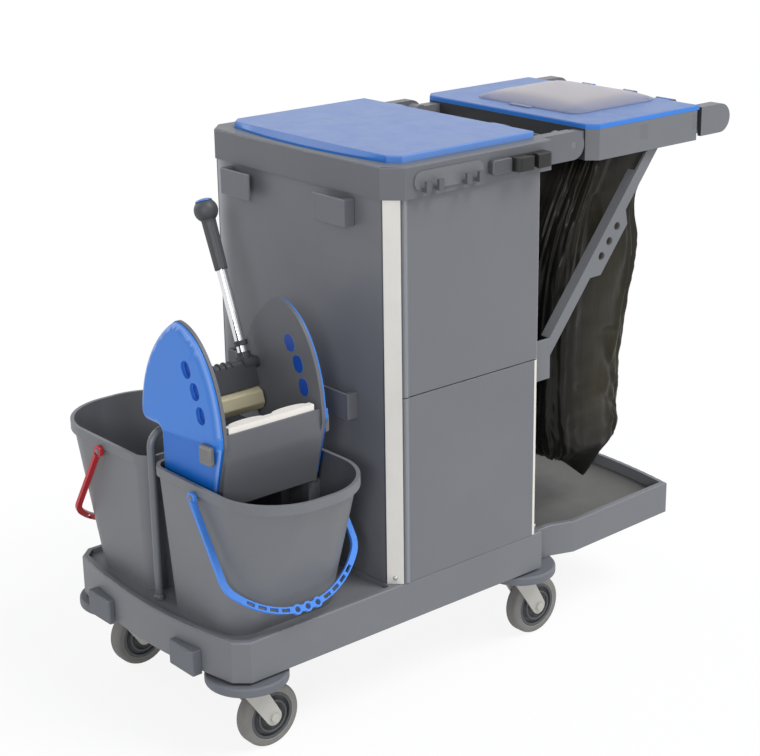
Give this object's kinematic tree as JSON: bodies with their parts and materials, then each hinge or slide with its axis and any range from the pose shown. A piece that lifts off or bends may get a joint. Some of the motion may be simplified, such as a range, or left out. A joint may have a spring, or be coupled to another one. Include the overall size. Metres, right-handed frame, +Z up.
{
  "type": "double mop bucket trolley",
  "caption": "Janitor trolley on swivel casters with mop buckets and a lever wringer in front, a lidded cabinet in the middle, and a folding bag frame with push handle behind.",
  "frame": {"origin": "on the floor, under the middle of the overall length and width", "axes": "+X from the buckets to the push handle, +Z up, -Y the side with the hooks and the wringer"},
  "size_m": [1.3599, 0.712, 1.0803],
  "materials": {
    "grey_plastic": "fine moulded grain",
    "panel_plastic": "smooth matt sheet",
    "bumper_plastic": "soft matt",
    "blue_plastic": "satin moulded",
    "red_plastic": "satin moulded",
    "dark_plastic": "matt moulded",
    "cream_plastic": "smooth moulded",
    "clear_plastic": "clear, faintly hazed",
    "bag_film": "crinkled film",
    "post_aluminium": "satin anodised",
    "hoop_tube": "powder coat",
    "lever_chrome": "bright plated",
    "steel": "zinc plated",
    "fork_steel": "zinc grey",
    "hub_plastic": "matt moulded",
    "tyre_rubber": "non-marking grey"
  },
  "bodies": {
    "chassis": {"base_tray": "grey_plastic", "bumper_blocks": "bumper_plastic", "corner_bumpers": "bumper_plastic", "caster_stems": "steel", "divider_hoop": "hoop_tube", "corner_posts": "post_aluminium", "front_panel": "panel_plastic", "rear_panel": "panel_plastic", "side_panel_upper_near": "panel_plastic", "side_panel_lower_near": "panel_plastic", "side_panel_upper_far": "panel_plastic", "side_panel_lower_far": "panel_plastic", "top_collar": "grey_plastic", "panel_holders": "panel_plastic", "hook_plate": "grey_plastic", "clip_bracket": "grey_plastic", "clip_jaw": "dark_plastic", "strut_brackets": "grey_plastic", "post_screws": "steel", "frame_pins": "steel", "lid_pins": "steel", "waste_bag": "bag_film", "bag_platform": "grey_plastic"},
    "cabinet_lid": {"cabinet_lid": "blue_plastic"},
    "bag_frame": {"bag_frame": "grey_plastic", "push_handle": "grey_plastic", "bag_lid_pins": "steel", "strut_pins": "steel"},
    "bag_lid": {"bag_lid": "blue_plastic", "hatch_pins": "steel"},
    "hatch": {"clear_hatch": "clear_plastic"},
    "strut_near": {"strut_near": "grey_plastic"},
    "strut_far": {"strut_far": "grey_plastic"},
    "bucket_near": {"bucket_near": "grey_plastic"},
    "bucket_far": {"bucket_far": "grey_plastic"},
    "bail_near": {"bail_near": "blue_plastic"},
    "bail_far": {"bail_far": "red_plastic"},
    "wringer": {"wringer_frame": "grey_plastic", "cheek_cover_left": "blue_plastic", "cheek_cover_right": "blue_plastic", "fixed_jaw": "cream_plastic", "jaw_clips": "grey_plastic"},
    "lever": {"press_shaft": "dark_plastic", "press_plate": "cream_plastic", "lever_tube": "lever_chrome", "lever_grip": "dark_plastic", "lever_cap": "blue_plastic"},
    "caster_front_near": {"caster_fork_front_near": "fork_steel"},
    "wheel_front_near": {"caster_hub_front_near": "hub_plastic", "caster_tyre_front_near": "tyre_rubber"},
    "caster_front_far": {"caster_fork_front_far": "fork_steel"},
    "wheel_front_far": {"caster_hub_front_far": "hub_plastic", "caster_tyre_front_far": "tyre_rubber"},
    "caster_rear_near": {"caster_fork_rear_near": "fork_steel"},
    "wheel_rear_near": {"caster_hub_rear_near": "hub_plastic", "caster_tyre_rear_near": "tyre_rubber"},
    "caster_rear_far": {"caster_fork_rear_far": "fork_steel"},
    "wheel_rear_far": {"caster_hub_rear_far": "hub_plastic", "caster_tyre_rear_far": "tyre_rubber"}
  },
  "joints": [
    {"name": "swivel_front_near", "type": "hinge", "parent": "chassis", "child": "caster_front_near", "pos_m": [-0.587, -0.216, 0.14], "axis": [0, 0, 1], "continuous": true},
    {"name": "roll_front_near", "type": "hinge", "parent": "caster_front_near", "child": "wheel_front_near", "pos_m": [-0.545, -0.216, 0.0625], "axis": [0, 1, 0], "continuous": true},
    {"name": "swivel_front_far", "type": "hinge", "parent": "chassis", "child": "caster_front_far", "pos_m": [-0.587, 0.216, 0.14], "axis": [0, 0, 1], "continuous": true},
    {"name": "roll_front_far", "type": "hinge", "parent": "caster_front_far", "child": "wheel_front_far", "pos_m": [-0.545, 0.216, 0.0625], "axis": [0, 1, 0], "continuous": true},
    {"name": "swivel_rear_near", "type": "hinge", "parent": "chassis", "child": "caster_rear_near", "pos_m": [0.105, -0.216, 0.14], "axis": [0, 0, 1], "continuous": true},
    {"name": "roll_rear_near", "type": "hinge", "parent": "caster_rear_near", "child": "wheel_rear_near", "pos_m": [0.147, -0.216, 0.0625], "axis": [0, 1, 0], "continuous": true},
    {"name": "swivel_rear_far", "type": "hinge", "parent": "chassis", "child": "caster_rear_far", "pos_m": [0.105, 0.216, 0.14], "axis": [0, 0, 1], "continuous": true},
    {"name": "roll_rear_far", "type": "hinge", "parent": "caster_rear_far", "child": "wheel_rear_far", "pos_m": [0.147, 0.216, 0.0625], "axis": [0, 1, 0], "continuous": true},
    {"name": "cabinet_lid_hinge", "type": "hinge", "parent": "chassis", "child": "cabinet_lid", "pos_m": [0.108, 0, 1.065], "axis": [0, 1, 0], "range_deg": [0, 100]},
    {"name": "bag_frame_fold", "type": "hinge", "parent": "chassis", "child": "bag_frame", "pos_m": [0.21, 0, 1.028], "axis": [0, 1, 0], "range_deg": [0, 90], "deforming": ["waste_bag"]},
    {"name": "strut_near_pivot", "type": "hinge", "parent": "bag_frame", "child": "strut_near", "pos_m": [0.47, -0.231, 1], "axis": [0, 1, 0], "range_deg": [-126, 0]},
    {"name": "strut_far_pivot", "type": "hinge", "parent": "bag_frame", "child": "strut_far", "pos_m": [0.47, 0.231, 1], "axis": [0, 1, 0], "range_deg": [-126, 0]},
    {"name": "bag_lid_hinge", "type": "hinge", "parent": "bag_frame", "child": "bag_lid", "pos_m": [0.589, 0, 1.056], "axis": [0, 1, 0], "range_deg": [0, 95]},
    {"name": "hatch_hinge", "type": "hinge", "parent": "bag_lid", "child": "hatch", "pos_m": [0.578, 0, 1.0645], "axis": [0, 1, 0], "range_deg": [0, 70]},
    {"name": "bucket_near_lift", "type": "slide", "parent": "chassis", "child": "bucket_near", "axis": [0, 0, 1], "range_m": [0, 0.3]},
    {"name": "bucket_far_lift", "type": "slide", "parent": "chassis", "child": "bucket_far", "axis": [0, 0, 1], "range_m": [0, 0.06]},
    {"name": "bail_near_swing", "type": "hinge", "parent": "bucket_near", "child": "bail_near", "pos_m": [-0.5, -0.155, 0.504], "axis": [-1, 0, 0], "range_deg": [0, 106]},
    {"name": "bail_far_swing", "type": "hinge", "parent": "bucket_far", "child": "bail_far", "pos_m": [-0.5, 0.155, 0.504], "axis": [1, 0, 0], "range_deg": [0, 120]},
    {"name": "wringer_lift", "type": "slide", "parent": "bucket_near", "child": "wringer", "axis": [0, 0, 1], "range_m": [0, 0.25]},
    {"name": "lever_pull", "type": "hinge", "parent": "wringer", "child": "lever", "pos_m": [-0.5, -0.018, 0.67], "axis": [-1, 0, 0], "range_deg": [0, 40]}
  ],
  "couplings": [
    {"joint": "strut_near_pivot", "follows": "bag_frame_fold", "ratio": -1.3907},
    {"joint": "strut_far_pivot", "follows": "bag_frame_fold", "ratio": -1.3907}
  ]
}
